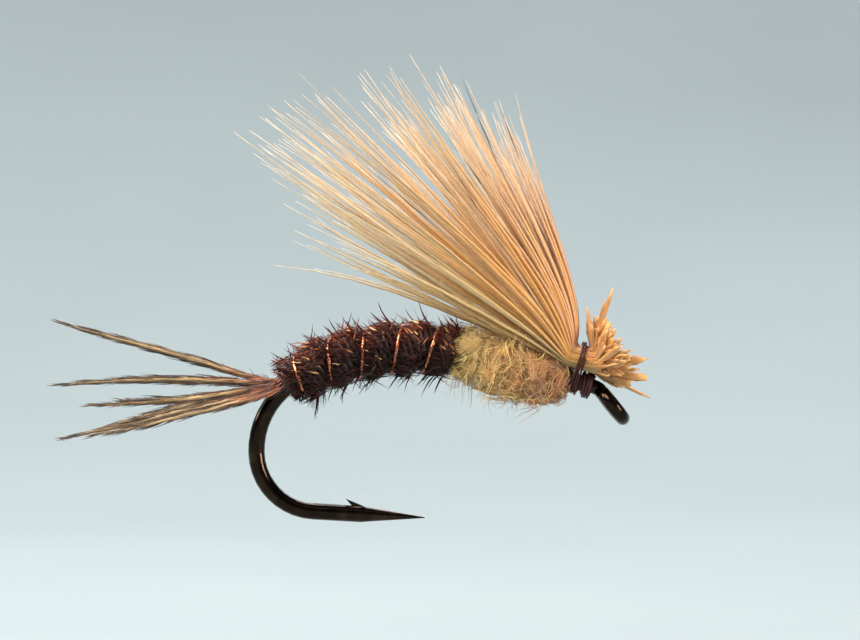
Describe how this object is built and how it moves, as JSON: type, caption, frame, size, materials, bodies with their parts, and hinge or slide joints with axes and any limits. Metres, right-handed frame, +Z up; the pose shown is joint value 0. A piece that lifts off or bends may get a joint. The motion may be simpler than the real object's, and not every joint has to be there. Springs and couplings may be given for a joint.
{
  "type": "dry fly",
  "caption": "Dry fly on a curved-shank hook: pheasant barb tail and ribbed abdomen, dubbed thorax and a swept-up deer hair wing with clipped butts at the head.",
  "frame": {"origin": "centre of the hook eye", "axes": "+X forward past the eye, away from the bend; +Z up through the wing; Y across the hook"},
  "size_m": [0.0194, 0.0079, 0.0156],
  "materials": {
    "hook_bronze": "polished dark bronze plating",
    "copper_wire": "bright drawn copper",
    "tail_barb": "mottled natural feather",
    "abdomen_barb": "dark red-brown natural feather",
    "dubbing": "loose golden olive fur",
    "deer_hair": "natural tan hair, slight sheen",
    "tying_thread": "waxed dark brown thread"
  },
  "bodies": {
    "root": {"abdomen_barb_1": "abdomen_barb", "abdomen_barb_2": "abdomen_barb", "abdomen_barb_3": "abdomen_barb", "abdomen_barb_4": "abdomen_barb", "abdomen_barb_5": "abdomen_barb", "hook": "hook_bronze", "rib_wire": "copper_wire", "tail_barb_bottom_1": "tail_barb", "tail_barb_bottom_2": "tail_barb", "tail_barb_bottom_3": "tail_barb", "tail_barb_lower_1": "tail_barb", "tail_barb_lower_2": "tail_barb", "tail_barb_top_1": "tail_barb", "tail_barb_top_2": "tail_barb", "tail_barb_upper_1": "tail_barb", "tail_barb_upper_2": "tail_barb", "tail_tie_thread": "tying_thread", "thorax_dubbing_rope": "dubbing", "thread_underbody": "tying_thread", "whip_finish_thread": "tying_thread", "wing_hair_lock_01": "deer_hair", "wing_hair_lock_02": "deer_hair", "wing_hair_lock_03": "deer_hair", "wing_hair_lock_04": "deer_hair", "wing_hair_lock_05": "deer_hair", "wing_hair_lock_06": "deer_hair", "wing_hair_lock_07": "deer_hair", "wing_hair_lock_08": "deer_hair", "wing_hair_lock_09": "deer_hair", "wing_hair_lock_10": "deer_hair", "wing_hair_lock_11": "deer_hair", "wing_hair_lock_12": "deer_hair", "wing_tie_thread": "tying_thread"}
  },
  "joints": []
}
